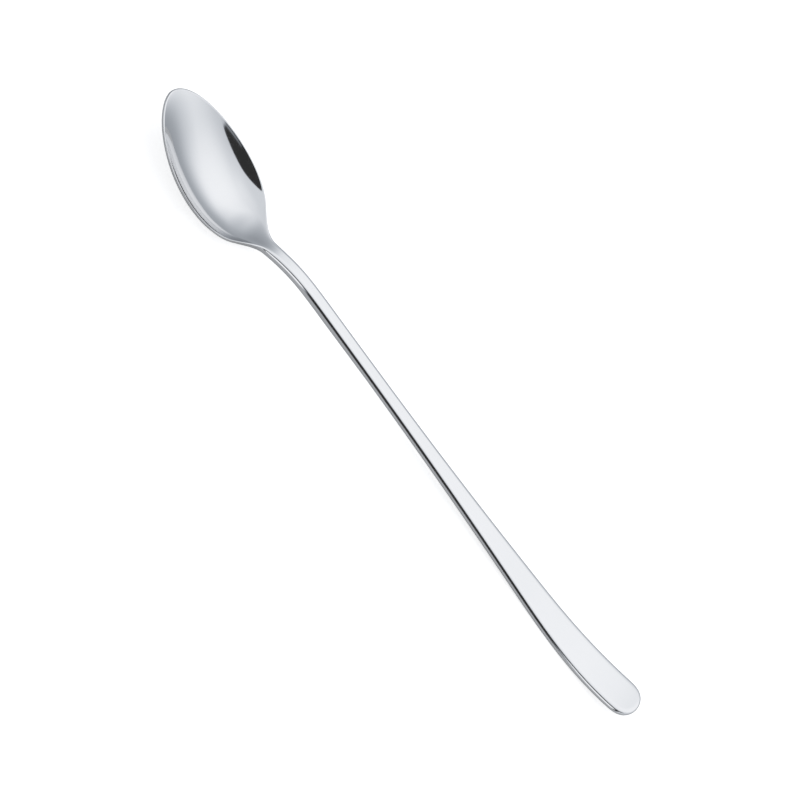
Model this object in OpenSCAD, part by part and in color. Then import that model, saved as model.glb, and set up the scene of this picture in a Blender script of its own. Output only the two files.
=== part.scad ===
// Iced tea spoon with a long plain handle.
// Two pieces, the bowl and the handle, meet face to face at the neck.
//
// Millimetres, +Z up. The spoon lies as it does on a table, hollow upwards,
// with its length along X and the bowl at the negative end. The origin is on
// the table, under the middle of the spoon.
//
// The shape is drawn first with the stem level: x runs along the spoon from
// the tip of the bowl, y runs across it, and z is the height over the top
// edge of the stem. Each cross-section is a strip with rounded edges that
// the hollow bends down. The finished drawing is then laid on the table.

/* [Overall] */
// Length from the tip of the bowl to the end of the handle
overall_length = 200; // [185:1:215]

/* [Bowl] */
// Length of the rim from tip to heel
bowl_length = 42; // [38:0.5:48]
// Width over the rim at its widest
bowl_width = 25.7; // [22:0.1:30]
// Depth of the hollow under the rim
bowl_depth = 5.4; // [4.5:0.1:7.5]
// Thickness of the wall
bowl_wall = 1.1; // [1.05:0.05:1.6]
// Height of the rim's tip over its heel
tip_lift = 5; // [3:0.1:8]
// Rounding of the rim's edges
rim_radius = 0.45; // [0.2:0.05:0.5]

/* [Neck] */
// Drop from the stem to the heel of the rim
neck_drop = 4.3; // [3:0.1:7]
// Length behind the rim in which the sides draw in to the stem
neck_run = 5; // [4:0.5:8]
// Length in which the top climbs from the heel to the stem
neck_climb = 36; // [30:0.5:44]
// Greatest thickness
neck_thickness = 2.4; // [2.1:0.1:3.2]
// Length behind the neck's sides in which the hollow runs out
hollow_run = 4; // [3:0.5:9]

/* [Handle] */
// Width of the stem behind the neck
stem_width = 4.2; // [3.4:0.1:6]
// Thickness of the stem and the grip
stem_thickness = 2.1; // [1.6:0.1:2.6]
// Rounding of the edges of the stem and the grip
handle_radius = 0.9; // [0.3:0.05:1.1]
// Width of the grip before its end rounds off
grip_width = 11; // [8:0.1:14]
// Length of the rounded end
end_round = 6.5; // [5:0.5:10]
// Length of the grip that turns up
end_turn = 44; // [30:1:55]
// Height of the turned-up end over the stem
end_rise = 6.5; // [2:0.1:10]

/* [Hidden] */

// Outline of the rim: lower powers make the tip or the heel blunter.
tip_power = 0.542;
heel_power = 0.425;
// Where the sides of the neck leave the rim, as a share of its length.
neck_start_share = 0.925;
// Side line: where the climb leaves the rim, and how late the end turns up.
climb_start_share = 0.924;
turn_power = 2.8;
// The grip widens late, and its end is a little squarer than a half ellipse.
flare_power = 1.93;
round_power = 3.2;
// Hollow: its deepest place, how flat it starts at the tip, how much steeper than a
// parabola its sides are, and where before the deepest place they are that steep.
deepest_share = 0.64;
tip_flat_power = 1.6;
steep_share = 0.5;
steep_end_share = 0.6;
// Thickness: where the wall starts to thicken, how soon behind the rim the neck has
// all of its thickness, and where the stem thins again.
thicken_share = 0.79;
neck_thick_run = 3.5;
thin_start_run = 19;
thin_end_run = 46;
// Length in which the rounding grows from the rim's to the handle's.
radius_run = 16;

neck_start = neck_start_share * bowl_length;
stem_start = bowl_length + neck_run;
hollow_end = stem_start + hollow_run;
// The two pieces meet where the hollow has run out and the top is flat.
joint_at = hollow_end;
deepest_at = deepest_share * bowl_length;
climb_start = climb_start_share * bowl_length;
turn_start = overall_length - end_turn;
round_start = overall_length - end_round;
thicken_start = thicken_share * bowl_length;
neck_thickest = bowl_length + neck_thick_run;
thin_start = stem_start + thin_start_run;
thin_end = stem_start + thin_end_run;

// Steps along and across the pieces.
tip_steps = 14;
bowl_steps = 42;
stem_steps = 44;
end_steps = 14;
bowl_cross_steps = 10;
handle_cross_steps = 2;
arc_steps = 5;
settle_steps = 40;
steepest_rest = 15;
// Part of the bowl and of the grip whose steps crowd towards the outline's end.
crowded_share = 0.28;
// Length of the blunt face that closes an outline, and of a slope's sample.
blunt = 0.03;
sample = 0.01;
// Most of a section's half width, and of its half thickness, that the edge rounding
// may take.
arc_limit_share = 0.8;
radius_limit_share = 0.9;

function limit(v) = max(0, min(1, v));
function part_way(x, from, to) = limit((x - from) / (to - from));
function ease(s) = s * s * (3 - 2 * s);
function soft_ease(s) = s * s * s * (s * (6 * s - 15) + 10);

// Half width of the rim: one humped curve that is zero at the tip and the heel.
crest = tip_power / (tip_power + heel_power);
function hump(u) = pow(u, tip_power) * pow(1 - u, heel_power);
function rim_half(x) = bowl_width / 2 * hump(limit(x / bowl_length)) / hump(crest);

// Half width of the neck: from the rim's edge and slope to the stem.
neck_half = rim_half(neck_start);
neck_slope = (rim_half(neck_start + sample) - rim_half(neck_start - sample)) / (2 * sample);
function neck_side(s) =
    neck_half * (1 - ease(s))
    + neck_slope * (stem_start - neck_start) * s * (1 - s) * (1 - s)
    + stem_width / 2 * ease(s);

// Half width of the handle: the stem widens to the grip, which rounds off.
function end_share(x) = sqrt(1 - pow(part_way(x, round_start, overall_length), round_power));
function handle_half(x) =
    let (s = part_way(x, stem_start, round_start))
    (stem_width + (grip_width - stem_width) * ease(pow(s, flare_power))) / 2 * end_share(x);

function half_width(x) =
    x < neck_start ? rim_half(x)
    : x < stem_start ? neck_side(part_way(x, neck_start, stem_start))
    : handle_half(x);

// Height of the top edge.
function rim_height(x) = tip_lift * pow(1 - limit(x / bowl_length), 2) - neck_drop;
function climbed(x) =
    let (s = part_way(x, climb_start, climb_start + neck_climb))
    soft_ease(s * (2 - s));
function edge_height(x) =
    rim_height(x) * (1 - climbed(x))
    + end_rise * pow(part_way(x, turn_start, overall_length), turn_power);

// Thickness from top to bottom.
function thickness(x) =
    bowl_wall
    + (neck_thickness - bowl_wall) * ease(part_way(x, thicken_start, neck_thickest))
    + (stem_thickness - neck_thickness) * ease(part_way(x, thin_start, thin_end));

// Rounding of the edges.
function edge_radius(x) =
    let (s = part_way(x, neck_thickest, neck_thickest + radius_run))
    min(
        rim_radius + (handle_radius - rim_radius) * ease(s),
        radius_limit_share * thickness(x) / 2
    );

// Depth of the hollow on the centre line: one curve from the tip to the deepest
// place, then one of equal bend there that runs out flat into the neck.
same_bend = tip_flat_power * pow((hollow_end - deepest_at) / deepest_at, 2);
function run_out(s) = soft_ease(s) + same_bend * pow(s, 2) * pow(1 - s, 3);
function hollow(x) =
    x < deepest_at
    ? bowl_depth * pow(1 - pow(1 - x / deepest_at, 2), tip_flat_power)
    : bowl_depth * (1 - run_out(part_way(x, deepest_at, hollow_end)));
// Share of that depth at a share of the half width. The sides steepen from the tip on.
function steepness(x) = steep_share * ease(part_way(x, 0, steep_end_share * deepest_at));
function dish(x, u) = (1 - u * u) * (1 + steepness(x) * u * u);

// Half of the strip's thickness at an inset from its outline.
function strip_half(x, inset) =
    let (radius = edge_radius(x))
    thickness(x) / 2 - radius + sqrt(pow(radius, 2) - pow(max(0, radius - inset), 2));

// Distances from the centre line at which a section has its points.
function across(half, radius, steps) =
    let (arc = min(radius, arc_limit_share * half))
    let (first = asin(max(0, 1 - arc / radius)))
    concat(
        [for (i = [0 : steps - 1]) (half - arc) * i / steps],
        [for (i = [0 : arc_steps]) half - radius * (1 - sin(first + (90 - first) * i / arc_steps))]
    );

// One section: its points run over the top from -y to +y, then back below.
function section(x, steps) =
    let (half = half_width(x))
    let (slope = (half_width(x + sample) - half_width(x - sample)) / (2 * sample))
    let (right = across(half, edge_radius(x) * sqrt(1 + slope * slope), steps))
    let (last = len(right) - 1)
    let (ys = [for (i = [-last : last]) sign(i) * right[abs(i)]])
    let (middle = edge_height(x) - thickness(x) / 2)
    let (strip = [for (y = ys)
        let (u = y / half)
        let (inset = half * (1 - u * u) / (2 * norm([slope, u])))
        [y, middle - hollow(x) * dish(x, u), strip_half(x, inset)]])
    concat(
        [for (p = strip) [x, p[0], p[1] + p[2]]],
        [for (i = [2 * last : -1 : 0]) [x, strip[i][0], strip[i][1] - strip[i][2]]]
    );

// Places of the sections: crowded at the tip and the end, even between.
tip_run = crowded_share * bowl_length;
end_run = crowded_share * end_turn;
bowl_places = concat(
    [for (i = [0 : tip_steps - 1]) blunt + (tip_run - blunt) * pow(i / tip_steps, 2)],
    [for (i = [0 : bowl_steps]) tip_run + (joint_at - tip_run) * i / bowl_steps]
);
handle_places = concat(
    [for (i = [0 : stem_steps - 1]) joint_at + (overall_length - end_run - joint_at) * i / stem_steps],
    [for (i = [end_steps : -1 : 0])
        overall_length - blunt - (end_run - blunt) * pow(i / end_steps, 2)]
);

// Resting on the table: the spoon leans until bowl and handle both touch.
function underside(x) = edge_height(x) - hollow(x) - thickness(x);
function leaned(x, z, angle) = [x * cos(angle) + z * sin(angle), z * cos(angle) - x * sin(angle)];
function lowest(places, angle) = min([for (x = places) leaned(x, underside(x), angle)[1]]);
function settle(low, high, left) =
    let (angle = (low + high) / 2)
    left == 0 ? angle
    : lowest(handle_places, angle) > lowest(bowl_places, angle)
        ? settle(angle, high, left - 1)
        : settle(low, angle, left - 1);
rest_angle = settle(0, steepest_rest, settle_steps);

function laid(p) = let (q = leaned(p[0], p[2], rest_angle)) [q[0], p[1], q[1]];
function sections(places, steps) =
    [for (x = places) [for (p = section(x, steps)) laid(p)]];
bowl_sections = sections(bowl_places, bowl_cross_steps);
handle_sections = sections(handle_places, handle_cross_steps);
front = min([for (ring = bowl_sections) for (p = ring) p[0]]);
back = max([for (ring = handle_sections) for (p = ring) p[0]]);
table = min([for (ring = concat(bowl_sections, handle_sections)) for (p = ring) p[2]]);
shift = [-(front + back) / 2, 0, -table];

// Faces between neighbouring rings, and strips that close both ends.
function skin_faces(rings, count) = [
    for (r = [0 : rings - 2]) for (i = [0 : count - 1])
        let (a = r * count + i, b = r * count + (i + 1) % count, c = b + count, d = a + count)
        each [[a, b, c], [a, c, d]]
];
function end_faces(start, count, outward) = [
    for (i = [0 : count / 2 - 2])
        let (a = start + i, b = a + 1, d = start + count - 1 - i, c = d - 1)
        each outward ? [[a, b, c], [a, c, d]] : [[a, c, b], [a, d, c]]
];

module loft(rings) {
    count = len(rings[0]);
    polyhedron(
        points = [for (ring = rings) for (p = ring) p + shift],
        faces = concat(
            skin_faces(len(rings), count),
            end_faces(0, count, false),
            end_faces((len(rings) - 1) * count, count, true)
        ),
        convexity = 4
    );
}

// The bowl with its neck, up to the joint.
module bowl() {
    color("gainsboro") loft(bowl_sections);
}

// The stem and the grip, from the joint to the turned-up end.
module handle() {
    color("silver") loft(handle_sections);
}

bowl();
handle();
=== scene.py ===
import math

import bmesh
import bpy
from mathutils import Matrix, Vector
from mathutils.kdtree import KDTree


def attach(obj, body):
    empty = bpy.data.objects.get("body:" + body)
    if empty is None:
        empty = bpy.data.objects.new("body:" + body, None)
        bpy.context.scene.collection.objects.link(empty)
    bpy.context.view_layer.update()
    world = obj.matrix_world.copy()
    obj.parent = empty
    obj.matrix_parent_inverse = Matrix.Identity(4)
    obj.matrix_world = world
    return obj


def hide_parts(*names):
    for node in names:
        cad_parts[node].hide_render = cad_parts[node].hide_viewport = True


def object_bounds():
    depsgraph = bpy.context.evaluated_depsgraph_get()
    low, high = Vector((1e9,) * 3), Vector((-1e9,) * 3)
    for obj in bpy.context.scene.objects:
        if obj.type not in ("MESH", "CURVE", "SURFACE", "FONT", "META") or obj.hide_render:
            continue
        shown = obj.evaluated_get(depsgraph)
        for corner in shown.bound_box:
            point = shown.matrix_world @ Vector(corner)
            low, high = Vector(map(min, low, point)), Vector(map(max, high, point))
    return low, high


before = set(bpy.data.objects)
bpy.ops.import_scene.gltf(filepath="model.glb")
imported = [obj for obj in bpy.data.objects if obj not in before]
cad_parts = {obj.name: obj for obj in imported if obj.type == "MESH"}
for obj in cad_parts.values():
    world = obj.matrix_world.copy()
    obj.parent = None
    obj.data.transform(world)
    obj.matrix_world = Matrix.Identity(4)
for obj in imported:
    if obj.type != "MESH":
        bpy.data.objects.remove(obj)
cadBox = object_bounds()
scene = bpy.context.scene
scene.view_settings.view_transform = "Standard"
mm = 0.001
print("frame loaded:", sorted(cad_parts))


def linear(hexColour):
    # sRGB hex to the linear colour that the shaders take
    parts = [int(hexColour[i:i + 2], 16) / 255 for i in (1, 3, 5)]
    return [p / 12.92 if p <= 0.04045 else ((p + 0.055) / 1.055) ** 2.4 for p in parts] + [1]


def addNode(tree, kind, settings=None, values=None, links=None):
    node = tree.nodes.new(kind)
    for name, value in (settings or {}).items():
        setattr(node, name, value)
    for socket, value in (values or {}).items():
        node.inputs[socket].default_value = value
    for socket, source in (links or {}).items():
        tree.links.new(source, node.inputs[socket])
    return node


# Camera, at the photograph's viewing angle
photoView = {
    "aim": (-2.408, 1.64, 6.156),  # mm, the point in the middle of the picture
    "azimuth": -109.411,  # degrees from +X, where the camera stands
    "elevation": 47.2,
    "roll": 66.084,  # the camera is turned so that the spoon lies across the picture
    "distance": 1000,  # mm
    "lens": 179.34,  # mm
    "sensor": 36,  # mm
}


def placeCamera():
    azimuth, elevation, roll = (math.radians(photoView[k]) for k in ("azimuth", "elevation", "roll"))
    back = Vector((
        math.cos(azimuth) * math.cos(elevation),
        math.sin(azimuth) * math.cos(elevation),
        math.sin(elevation),
    ))
    level = Vector((0, 0, 1)).cross(back).normalized()
    upright = back.cross(level)
    right = level * math.cos(roll) + upright * math.sin(roll)
    up = back.cross(right)
    data = bpy.data.cameras.new("photoCamera")
    data.sensor_width = photoView["sensor"]
    data.lens = photoView["lens"]
    camera = bpy.data.objects.new("photoCamera", data)
    place = (Vector(photoView["aim"]) + back * photoView["distance"]) * mm
    camera.matrix_world = Matrix((
        (right.x, up.x, back.x, place.x),
        (right.y, up.y, back.y, place.y),
        (right.z, up.z, back.z, place.z),
        (0, 0, 0, 1),
    ))
    scene.collection.objects.link(camera)
    scene.camera = camera


placeCamera()
print("camera placed")


# The spoon, drawn with its stem level: x from the tip of the bowl, z over the stem's top edge, in mm
bowl = {
    "length": 42,  # rim from tip to heel
    "width": 25.7,
    "depth": 5.4,  # hollow under the rim
    "wall": 1.1,
    "tipLift": 5,  # rim's tip over its heel
    "edgeRadius": 0.45,
    "neckDrop": 4.3,  # from the stem down to the heel
    "neckRun": 5,  # sides draw in to the stem
    "neckClimb": 36,  # top climbs to the stem
    "neckThickness": 2.4,
    "hollowRun": 4,  # hollow runs out behind the neck's sides
    "tipPower": 0.542,  # lower is blunter
    "heelPower": 0.425,
    "deepest": 0.64,  # share of the rim's length
    "tipFlat": 1.6,  # higher makes the hollow start flatter at the tip
    "steeper": 0.5,  # how much steeper than a parabola the sides are
    "steepAfter": 0.6,  # share of the way from the tip to the deepest place
    "neckStart": 0.925,  # shares of the rim's length: where the sides leave the rim for the neck,
    "climbStart": 0.924,  # where the top does,
    "thickenStart": 0.79,  # and where the wall starts to thicken
    "thickenRun": 3.5,  # behind the heel, until the neck has its thickness
    "steps": 122,
    "tipSteps": 28,  # those of them that crowd towards the tip
    "tipRun": 12,
}
handle = {
    "end": 200,
    "stemWidth": 4.2,
    "gripWidth": 11,
    "thickness": 2.1,
    "thinning": (19, 46),  # behind the neck's sides, from the neck's thickness to this one
    "edgeRadius": 0.9,
    "rounding": (-2, 9),  # behind the heel, from the rim's radius to this one
    "crown": 0.24,  # how much the top falls to its edges
    "crownRun": 2,  # over this distance from them
    "endRound": 6.5,
    "endTurn": 44,  # length that turns up
    "endRise": 6.5,
    "turnPower": 2.8,
    "flarePower": 1.93,
    "roundPower": 3.2,
    "lean": 3.425,  # degrees at which bowl and grip both touch the table
    "steps": 180,
    "endSteps": 30,  # those of them that crowd towards the end
    "endRun": 12,
}
crossSteps = 14  # from the centre line to the start of the edge rounding
crowding = 1.5  # above 1 they crowd towards the rounding
arcSteps = 8
arcLimit = 0.8  # most of the half width that the rounding may take
sample = 0.01  # mm to either side, for a slope
samePlace = 1e-8  # m, points this close are merged
onPlane = 1e-7  # m, points this close to the joint's plane lie on it
neckStart = bowl["neckStart"] * bowl["length"]
stemStart = bowl["length"] + bowl["neckRun"]
jointAt = stemStart + bowl["hollowRun"]
roundStart = handle["end"] - handle["endRound"]
deepestAt = bowl["deepest"] * bowl["length"]


def partWay(x, start, end):
    return max(0, min(1, (x - start) / (end - start)))


def ease(s):
    return s * s * (3 - 2 * s)


def softEase(s):
    return s ** 3 * (s * (6 * s - 15) + 10)


def rimHalf(x):
    def hump(u):
        return u ** bowl["tipPower"] * (1 - u) ** bowl["heelPower"]
    crest = bowl["tipPower"] / (bowl["tipPower"] + bowl["heelPower"])
    return bowl["width"] / 2 * hump(partWay(x, 0, bowl["length"])) / hump(crest)


neckHalf = rimHalf(neckStart)
neckSlope = (rimHalf(neckStart + sample) - rimHalf(neckStart - sample)) / (2 * sample)


def halfWidth(x):
    if x < neckStart:
        return rimHalf(x)
    if x < stemStart:
        s = partWay(x, neckStart, stemStart)
        return (
            neckHalf * (1 - ease(s)) + handle["stemWidth"] / 2 * ease(s)
            + neckSlope * (stemStart - neckStart) * s * (1 - s) ** 2
        )
    s = partWay(x, stemStart, roundStart)
    flare = handle["gripWidth"] - handle["stemWidth"]
    widened = handle["stemWidth"] + flare * ease(s ** handle["flarePower"])
    return widened / 2 * math.sqrt(1 - partWay(x, roundStart, handle["end"]) ** handle["roundPower"])


def topEdge(x):
    climb = bowl["climbStart"] * bowl["length"]
    s = partWay(x, climb, climb + bowl["neckClimb"])
    rim = bowl["tipLift"] * (1 - partWay(x, 0, bowl["length"])) ** 2 - bowl["neckDrop"]
    turned = partWay(x, handle["end"] - handle["endTurn"], handle["end"]) ** handle["turnPower"]
    return rim * (1 - softEase(s * (2 - s))) + handle["endRise"] * turned


def thickness(x):
    neck = partWay(x, bowl["thickenStart"] * bowl["length"], bowl["length"] + bowl["thickenRun"])
    start, end = handle["thinning"]
    stem = partWay(x, stemStart + start, stemStart + end)
    return (
        bowl["wall"] + (bowl["neckThickness"] - bowl["wall"]) * ease(neck)
        + (handle["thickness"] - bowl["neckThickness"]) * ease(stem)
    )


def stemShare(x):
    start, end = handle["rounding"]
    return ease(partWay(x, bowl["length"] + start, bowl["length"] + end))


def edgeRadius(x):
    return bowl["edgeRadius"] + (handle["edgeRadius"] - bowl["edgeRadius"]) * stemShare(x)


def hollow(x):
    if x < deepestAt:
        return bowl["depth"] * (1 - (1 - x / deepestAt) ** 2) ** bowl["tipFlat"]
    s = partWay(x, deepestAt, jointAt)
    sameBend = bowl["tipFlat"] * ((jointAt - deepestAt) / deepestAt) ** 2
    return bowl["depth"] * (1 - softEase(s) - sameBend * s ** 2 * (1 - s) ** 3)


def section(x):
    # points of one cross-section, over the top from -y to +y and back below
    half, r = halfWidth(x), edgeRadius(x)
    near = max(0, x - sample), min(handle["end"], x + sample)
    slope = (halfWidth(near[1]) - halfWidth(near[0])) / (near[1] - near[0])
    lean = math.sqrt(1 + slope * slope)
    arc = min(r * lean, arcLimit * half)
    first = math.asin(max(0, 1 - arc / (lean * r)))
    right = [(half - arc) * (1 - (1 - i / crossSteps) ** crowding) for i in range(crossSteps)]
    right += [
        half - lean * r * (1 - math.sin(first + (math.pi / 2 - first) * i / arcSteps))
        for i in range(arcSteps + 1)
    ]
    steeper = bowl["steeper"] * ease(partWay(x, 0, bowl["steepAfter"] * deepestAt))
    above, below = [], []
    for y in [-v for v in reversed(right)] + right[1:]:
        u = min(1, abs(y) / half) if half else 1
        # distance to the outline
        inset = half * (1 - u * u) / (2 * math.hypot(slope, u)) if half else 0
        rounded = r - math.sqrt(r * r - max(0, r - inset) ** 2)
        top = topEdge(x) - hollow(x) * (1 - u * u) * (1 + steeper * u * u)
        fall = handle["crown"] * stemShare(x) * max(0, 1 - inset / handle["crownRun"]) ** 2
        above.append(Vector((x, y, top - rounded - fall)))
        below.append(Vector((x, y, top - thickness(x) + rounded)))
    return above + below[::-1]


def loftSpoon():
    # a flat grid is rolled round the sections: its long sides meet,
    # and its short sides close to the tip and the end
    tipRun, tipSteps = bowl["tipRun"], bowl["tipSteps"]
    endRun, endSteps = handle["endRun"], handle["endSteps"]
    bowlSteps, handleSteps = bowl["steps"] - tipSteps, handle["steps"] - endSteps
    endStart = handle["end"] - endRun
    places = [tipRun * (i / tipSteps) ** 2 for i in range(tipSteps)]
    places += [tipRun + (jointAt - tipRun) * i / bowlSteps for i in range(bowlSteps)]
    places += [jointAt + (endStart - jointAt) * i / handleSteps for i in range(handleSteps)]
    places += [handle["end"] - endRun * (i / endSteps) ** 2 for i in range(endSteps, -1, -1)]
    rings = [section(x) for x in places]
    spans, around = len(rings) - 1, len(rings[0])
    half = 0.5  # the grid is 1 wide, so a point's place in it is a share
    bm = bmesh.new()
    bmesh.ops.create_grid(bm, x_segments=spans, y_segments=around, size=half)
    for vert in bm.verts:
        along = round((vert.co.x + half) * spans)
        vert.co = rings[along][round((vert.co.y + half) * around) % around] * mm
    bmesh.ops.remove_doubles(bm, verts=bm.verts, dist=samePlace)
    bmesh.ops.recalc_face_normals(bm, faces=bm.faces)
    return bm


def layOnTable(bm, turn):
    bmesh.ops.rotate(bm, verts=bm.verts, cent=(0, 0, 0), matrix=turn)
    xs, zs = [v.co.x for v in bm.verts], [v.co.z for v in bm.verts]
    middle = (cadBox[0].x + cadBox[1].x) / 2
    shift = Vector((middle - (min(xs) + max(xs)) / 2, 0, cadBox[0].z - min(zs)))
    bmesh.ops.translate(bm, verts=bm.verts, vec=shift)
    return shift


def cutPiece(whole, name, plane, normal, keepBowl, wholeNormals):
    # one side of the joint, closed there with a flat face,
    # with the whole spoon's normals so that the joint doesn't show
    bm = whole.copy()
    bmesh.ops.bisect_plane(
        bm, geom=bm.verts[:] + bm.edges[:] + bm.faces[:], dist=onPlane,
        plane_co=plane, plane_no=normal, clear_outer=keepBowl, clear_inner=not keepBowl,
    )
    cap = bmesh.ops.holes_fill(bm, edges=[e for e in bm.edges if e.is_boundary])["faces"]
    bmesh.ops.recalc_face_normals(bm, faces=bm.faces)
    for face in bm.faces:
        face.smooth = True
    bm.faces.index_update()
    capIndex = {f.index for f in cap}
    mesh = bpy.data.meshes.new(name)
    bm.to_mesh(mesh)
    bm.free()
    points, pointNormals = wholeNormals
    normals = []
    for polygon in mesh.polygons:
        for corner in polygon.vertices:
            if polygon.index in capIndex:
                normals.append(polygon.normal.copy())
            else:
                normals.append(pointNormals[points.find(mesh.vertices[corner].co)[1]])
    mesh.normals_split_custom_set(normals)
    piece = bpy.data.objects.new(name, mesh)
    scene.collection.objects.link(piece)
    return piece


def makeSpoon():
    whole = loftSpoon()
    turn = Matrix.Rotation(math.radians(handle["lean"]), 3, "Y")
    shift = layOnTable(whole, turn)
    plane = turn @ Vector((jointAt * mm, 0, 0)) + shift
    normal = turn @ Vector((1, 0, 0))
    whole.normal_update()
    points = KDTree(len(whole.verts))
    for i, vert in enumerate(whole.verts):
        points.insert(vert.co, i)
    points.balance()
    wholeNormals = points, [v.normal.copy() for v in whole.verts]
    pieces = [
        cutPiece(whole, "steelBowl", plane, normal, True, wholeNormals),
        cutPiece(whole, "steelHandle", plane, normal, False, wholeNormals),
    ]
    whole.free()
    return pieces


steelBowl, steelHandle = makeSpoon()
for piece, node in ((steelBowl, "bowl"), (steelHandle, "handle")):
    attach(piece, "root")
    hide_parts(node)
print("spoon made:", len(steelBowl.data.polygons), "and", len(steelHandle.data.polygons), "faces")


# Stainless steel, pressed from sheet and buffed to a mirror along its length: sharp reflections,
# slightly drawn out along fine buffing lines, with a breath of haze where it was last wiped
steel = {
    "light": "#E8E8E9",
    "dark": "#E1E2E3",
    "roughness": (0.05, 0.10),
    "lineWidth": 0.35,  # mm; real ones are some hundredths, these are drawn coarser so that they show
    "lineLength": 18,  # mm
    "lineHeight": 0.0004,  # mm
    "lineStrength": 0.15,
    "hazeSize": 22,  # mm
    "hazeRange": (0.1, 0.45),  # of lines times haze, from the smoothest to the roughest
}


def buffedSteel():
    material = bpy.data.materials.new("buffed stainless steel")
    material.use_nodes = True
    tree = material.node_tree
    tree.nodes.clear()
    place = addNode(tree, "ShaderNodeTexCoord").outputs["Object"]
    across = 1 / (steel["lineWidth"] * mm)
    along = 1 / (steel["lineLength"] * mm)
    drawn = addNode(tree, "ShaderNodeMapping", values={"Scale": (along, across, across)},
                    links={"Vector": place})
    lines = addNode(tree, "ShaderNodeTexNoise", values={"Scale": 1, "Detail": 3, "Roughness": 0.6},
                    links={"Vector": drawn.outputs["Vector"]})
    haze = addNode(tree, "ShaderNodeTexNoise", links={"Vector": place},
                   values={"Scale": 1 / (steel["hazeSize"] * mm), "Detail": 4})
    (start, end), (smooth, dull) = steel["hazeRange"], steel["roughness"]
    mixed = addNode(tree, "ShaderNodeMath", {"operation": "MULTIPLY"},
                    links={0: lines.outputs["Fac"], 1: haze.outputs["Fac"]})
    rough = addNode(tree, "ShaderNodeMapRange", values={
        "From Min": start, "From Max": end, "To Min": smooth, "To Max": dull,
    }, links={"Value": mixed.outputs["Value"]})
    colour = addNode(tree, "ShaderNodeMix", {"data_type": "RGBA"},
                     links={"Factor": haze.outputs["Fac"]})
    colour.inputs["A"].default_value = linear(steel["dark"])
    colour.inputs["B"].default_value = linear(steel["light"])
    bump = addNode(tree, "ShaderNodeBump", links={"Height": lines.outputs["Fac"]}, values={
        "Strength": steel["lineStrength"], "Distance": steel["lineHeight"] * mm,
    })
    shader = addNode(tree, "ShaderNodeBsdfPrincipled", values={"Metallic": 1}, links={
        "Base Color": colour.outputs["Result"],
        "Roughness": rough.outputs["Result"],
        "Normal": bump.outputs["Normal"],
    })
    addNode(tree, "ShaderNodeOutputMaterial", links={"Surface": shader.outputs["BSDF"]})
    return material


steelFinish = buffedSteel()
for piece in (steelBowl, steelHandle):
    piece.data.materials.append(steelFinish)
print("steel finished")


# Studio: a white tent, brightest overhead, greyer at its back and left walls,
# open and dark at the front, where two low white cards stand, left and right
studio = {
    "peak": 1.2,
    "tint": ("#E0EBF9", "#FBFCFE"),  # of its dim and its bright places
    "walls": [  # direction, where it starts and ends along that, level at its start and its end
        ((0.21, 0.54, 0.815), 0.376, 1.15, 0.636, 1),
        ((-0.33, 0.353, -0.875), -0.516, -0.027, 1, 0.656),
        ((-0.774, 0.511, 0.375), 0.751, 0.907, 1, 0.567),
        ((-0.367, -0.812, 0.454), 0.389, 0.759, 1, 1.12),
        ((0.125, 0.991, -0.036), 0.695, 0.92, 1, 0.786),
    ],
    "opening": [  # how much of the light is missing there
        ((0.166, -0.96, -0.225), 0.379, 0.403, 0, 1),
        ((1, 0, 0), 0.66, 0.71, 1, 0.1),
    ],
    "cards": [  # how much is still missing before each card, below 0 it adds light
        [((-1, 0, 0), -0.22, -0.15, 1, -0.35), ((0, 0, -1), -0.55, -0.49, 1, -0.35)],
        [((1, 0, 0), 0.36, 0.44, 1, 0), ((0, 0, -1), -0.56, -0.5, 1, 0)],
    ],
    "tentWhite": (1, 0.035),  # white behind the floor, in the picture and as the steel mirrors it
    "floor": "#CDCDCD",
    "floorWhite": (0.76, 0.02),  # added to the floor's own light in the same two ways
    "floorSize": 6,  # m
}


def whiteShare(tree, seenShare, mirroredShare):
    # how much white a background adds: to the camera or through glass, and in a mirror
    ray = addNode(tree, "ShaderNodeLightPath")
    seen = addNode(tree, "ShaderNodeMath", {"operation": "MAXIMUM"},
                   links={0: ray.outputs["Is Camera Ray"], 1: ray.outputs["Is Transmission Ray"]})
    mirrored = addNode(tree, "ShaderNodeMath", {"operation": "MULTIPLY"}, values={1: mirroredShare},
                       links={0: ray.outputs["Is Glossy Ray"]})
    return addNode(tree, "ShaderNodeMath", {"operation": "MULTIPLY_ADD"}, values={1: seenShare},
                   links={0: seen.outputs["Value"], 2: mirrored.outputs["Value"]}).outputs["Value"]


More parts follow.
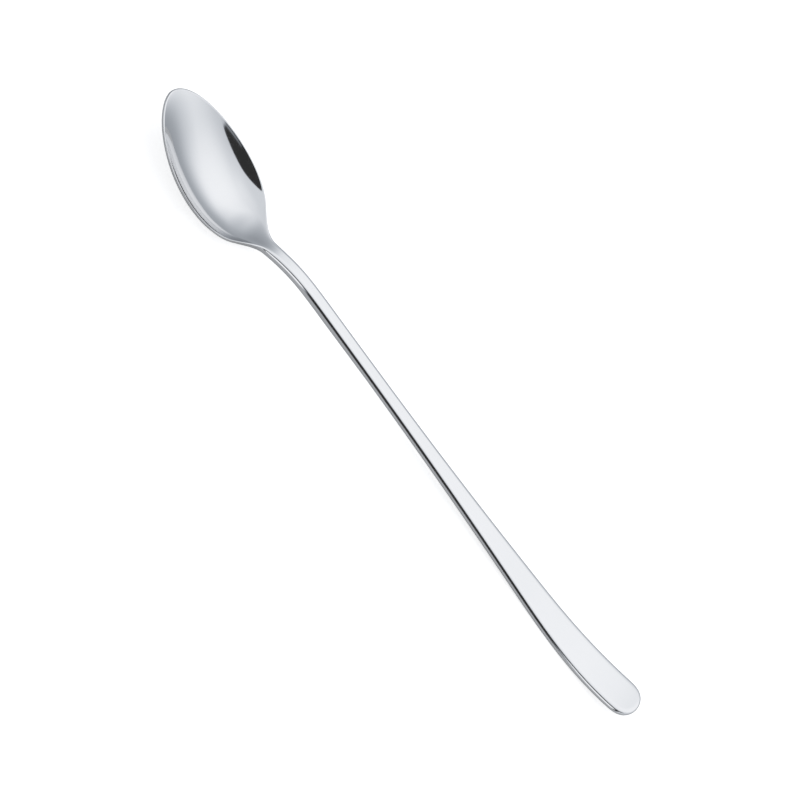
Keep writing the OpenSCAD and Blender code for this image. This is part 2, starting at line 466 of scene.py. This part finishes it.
def whiteTent():
    world = bpy.data.worlds.new("whiteTent")
    scene.world = world
    world.use_nodes = True
    tree = world.node_tree
    tree.nodes.clear()
    direction = addNode(tree, "ShaderNodeTexCoord").outputs["Generated"]

    def combine(operation, parts):
        # the levels of several walls or edges, made one level
        total = None
        for towards, start, end, first, last in parts:
            along = addNode(tree, "ShaderNodeVectorMath", {"operation": "DOT_PRODUCT"},
                            values={1: towards}, links={0: direction})
            wall = addNode(tree, "ShaderNodeMapRange", {"interpolation_type": "SMOOTHSTEP"}, values={
                "From Min": start, "From Max": end, "To Min": first, "To Max": last,
            }, links={"Value": along.outputs["Value"]}).outputs["Result"]
            if total:
                wall = addNode(tree, "ShaderNodeMath", {"operation": operation},
                               links={0: total, 1: wall}).outputs["Value"]
            total = wall
        return total

    missing = combine("MULTIPLY", studio["opening"])
    for card in studio["cards"]:
        missing = addNode(tree, "ShaderNodeMath", {"operation": "MULTIPLY"}, links={
            0: missing, 1: combine("MAXIMUM", card),
        }).outputs["Value"]
    remaining = addNode(tree, "ShaderNodeMath", {"operation": "SUBTRACT"}, values={0: 1},
                        links={1: missing})
    level = addNode(tree, "ShaderNodeMath", {"operation": "MULTIPLY"}, links={
        0: combine("MULTIPLY", studio["walls"]), 1: remaining.outputs["Value"],
    }).outputs["Value"]
    colour = addNode(tree, "ShaderNodeMix", {"data_type": "RGBA"}, links={"Factor": level})
    dim, bright = studio["tint"]
    colour.inputs["A"].default_value = linear(dim)
    colour.inputs["B"].default_value = linear(bright)
    strength = addNode(tree, "ShaderNodeMath", {"operation": "MULTIPLY"},
                       values={1: studio["peak"]}, links={0: level})
    tent = addNode(tree, "ShaderNodeBackground", links={
        "Color": colour.outputs["Result"], "Strength": strength.outputs["Value"],
    })
    white = addNode(tree, "ShaderNodeBackground", values={"Color": linear("#FFFFFF"), "Strength": 1})
    both = addNode(tree, "ShaderNodeMixShader", links={
        0: whiteShare(tree, *studio["tentWhite"]),
        1: tent.outputs["Background"],
        2: white.outputs["Background"],
    })
    addNode(tree, "ShaderNodeOutputWorld", links={"Surface": both.outputs["Shader"]})


def paleFloor():
    bm = bmesh.new()
    bmesh.ops.create_grid(bm, x_segments=1, y_segments=1, size=studio["floorSize"] / 2)
    mesh = bpy.data.meshes.new("paleFloor")
    bm.to_mesh(mesh)
    bm.free()
    floor = bpy.data.objects.new("paleFloor", mesh)
    scene.collection.objects.link(floor)
    # uncoated white paper, pressed smooth: even and without shine
    material = bpy.data.materials.new("white paper sweep")
    material.use_nodes = True
    tree = material.node_tree
    tree.nodes.clear()
    shader = addNode(tree, "ShaderNodeBsdfPrincipled", values={
        "Base Color": linear(studio["floor"]), "Roughness": 0.9, "Specular IOR Level": 0,
        "Emission Color": linear("#FFFFFF"),
    }, links={"Emission Strength": whiteShare(tree, *studio["floorWhite"])})
    addNode(tree, "ShaderNodeOutputMaterial", links={"Surface": shader.outputs["BSDF"]})
    mesh.materials.append(material)


whiteTent()
paleFloor()
print("studio ready")
